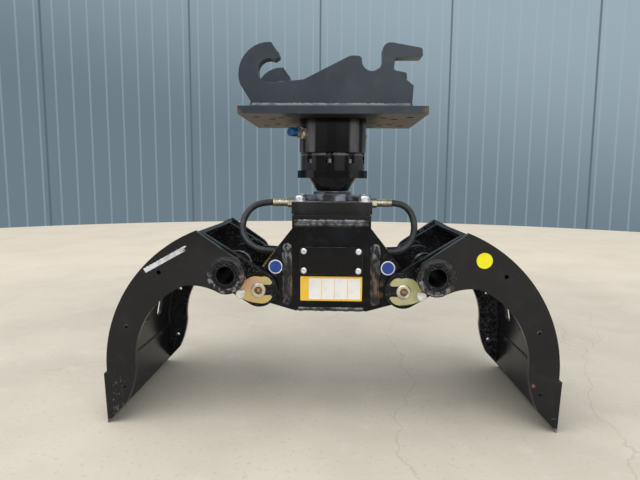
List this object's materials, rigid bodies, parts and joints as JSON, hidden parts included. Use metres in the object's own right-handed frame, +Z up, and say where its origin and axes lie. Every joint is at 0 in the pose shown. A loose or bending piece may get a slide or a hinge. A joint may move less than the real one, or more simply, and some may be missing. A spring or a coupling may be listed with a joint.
{
  "type": "rotating sorting grapple",
  "caption": "Hydraulic sorting grapple with two coupled shell jaws, a central closing cylinder, a turning rotator and a hook-on hitch plate.",
  "frame": {"origin": "on the ground, under the middle of the standing grapple", "axes": "+X across the two jaws, +Y along the hinge pins away from the cover plate, +Z up"},
  "size_m": [1.258, 0.512, 1.052],
  "materials": {
    "jaw_paint": "semi-gloss black",
    "frame_paint": "semi-gloss black",
    "edge_steel": "thin black paint, worn at the tip",
    "block_paint": "dark grey paint, scuffed on top",
    "housing_paint": "gloss dark grey",
    "hitch_paint": "satin anthracite",
    "pin_steel": "yellow zinc over ground steel",
    "yellow_zinc": "yellow passivated zinc",
    "bright_zinc": "bright zinc",
    "machined_steel": "machined",
    "chrome": "polished hard chrome",
    "bronze": "plain bronze",
    "seal_rubber": "matte",
    "hose_rubber": "smooth black cover",
    "ferrule_brass": "crimped, yellow zinc",
    "blue_plastic": "smooth",
    "white_plastic": "smooth"
  },
  "bodies": {
    "frame": {"frame_front_plate": "frame_paint", "frame_rear_plate": "frame_paint", "frame_web_left": "frame_paint", "frame_web_right": "frame_paint", "frame_bottom_plate": "frame_paint", "frame_top_flange": "frame_paint", "hinge_bosses": "frame_paint", "hinge_bushes": "bronze", "cover_plate": "frame_paint", "cover_bolts": "bright_zinc", "rotor_block": "block_paint", "rotor_block_bolts": "bright_zinc", "rotor_shaft": "machined_steel", "rotor_vanes": "machined_steel", "hose_left": "hose_rubber", "hose_right": "hose_rubber", "hose_unions": "yellow_zinc", "hose_ferrules": "ferrule_brass"},
    "hitch": {"adapter_plate": "hitch_paint", "hitch_ear_front": "hitch_paint", "hitch_ear_rear": "hitch_paint", "rotator_lower_housing": "housing_paint", "rotator_cam_ring": "housing_paint", "rotator_upper_housing": "housing_paint", "rotator_shaft_seal": "seal_rubber", "rotator_ring_screws": "bright_zinc", "rotator_mount_bolts": "bright_zinc", "port_adapters": "yellow_zinc", "port_caps": "blue_plastic", "port_plug": "white_plastic"},
    "jaw_left": {"jaw_left_side_plate_front": "jaw_paint", "jaw_left_side_plate_rear": "jaw_paint", "jaw_left_arm_front": "jaw_paint", "jaw_left_arm_rear": "jaw_paint", "jaw_left_torque_tube": "jaw_paint", "jaw_left_shell": "jaw_paint", "jaw_left_levers": "jaw_paint", "jaw_left_cutting_edge": "edge_steel", "jaw_left_hinge_pins": "pin_steel", "jaw_left_cylinder_pin": "pin_steel", "jaw_left_lock_plates": "yellow_zinc", "jaw_left_lock_bolts": "bright_zinc"},
    "jaw_right": {"jaw_right_side_plate_front": "jaw_paint", "jaw_right_side_plate_rear": "jaw_paint", "jaw_right_arm_front": "jaw_paint", "jaw_right_arm_rear": "jaw_paint", "jaw_right_torque_tube": "jaw_paint", "jaw_right_shell": "jaw_paint", "jaw_right_levers": "jaw_paint", "jaw_right_cutting_edge": "edge_steel", "jaw_right_hinge_pins": "pin_steel", "jaw_right_cylinder_pin": "pin_steel", "jaw_right_lock_plates": "yellow_zinc", "jaw_right_lock_bolts": "bright_zinc"},
    "barrel": {"cylinder_barrel": "frame_paint", "cylinder_gland": "machined_steel"},
    "rod": {"piston_rod": "chrome", "cylinder_piston": "machined_steel"}
  },
  "joints": [
    {"name": "rotator_spin", "type": "hinge", "parent": "frame", "child": "hitch", "pos_m": [0, 0, 0.65], "axis": [0, 0, 1], "continuous": true},
    {"name": "jaw_left_swing", "type": "hinge", "parent": "frame", "child": "jaw_left", "pos_m": [-0.202, 0, 0.376], "axis": [0, -1, 0], "range_deg": [0, 69]},
    {"name": "jaw_right_swing", "type": "hinge", "parent": "frame", "child": "jaw_right", "pos_m": [0.202, 0, 0.376], "axis": [0, 1, 0], "range_deg": [0, 69]},
    {"name": "barrel_pivot", "type": "hinge", "parent": "jaw_left", "child": "barrel", "pos_m": [-0.16117, 0, 0.4353], "axis": [0, -1, 0], "range_deg": [-69, 0]},
    {"name": "rod_pivot", "type": "hinge", "parent": "jaw_right", "child": "rod", "pos_m": [0.16117, 0, 0.4353], "axis": [0, 1, 0], "range_deg": [-69, 0]}
  ],
  "couplings": [
    {"joint": "jaw_right_swing", "follows": "jaw_left_swing", "ratio": 1},
    {"joint": "barrel_pivot", "follows": "jaw_left_swing", "ratio": -1},
    {"joint": "rod_pivot", "follows": "jaw_left_swing", "ratio": -1}
  ]
}
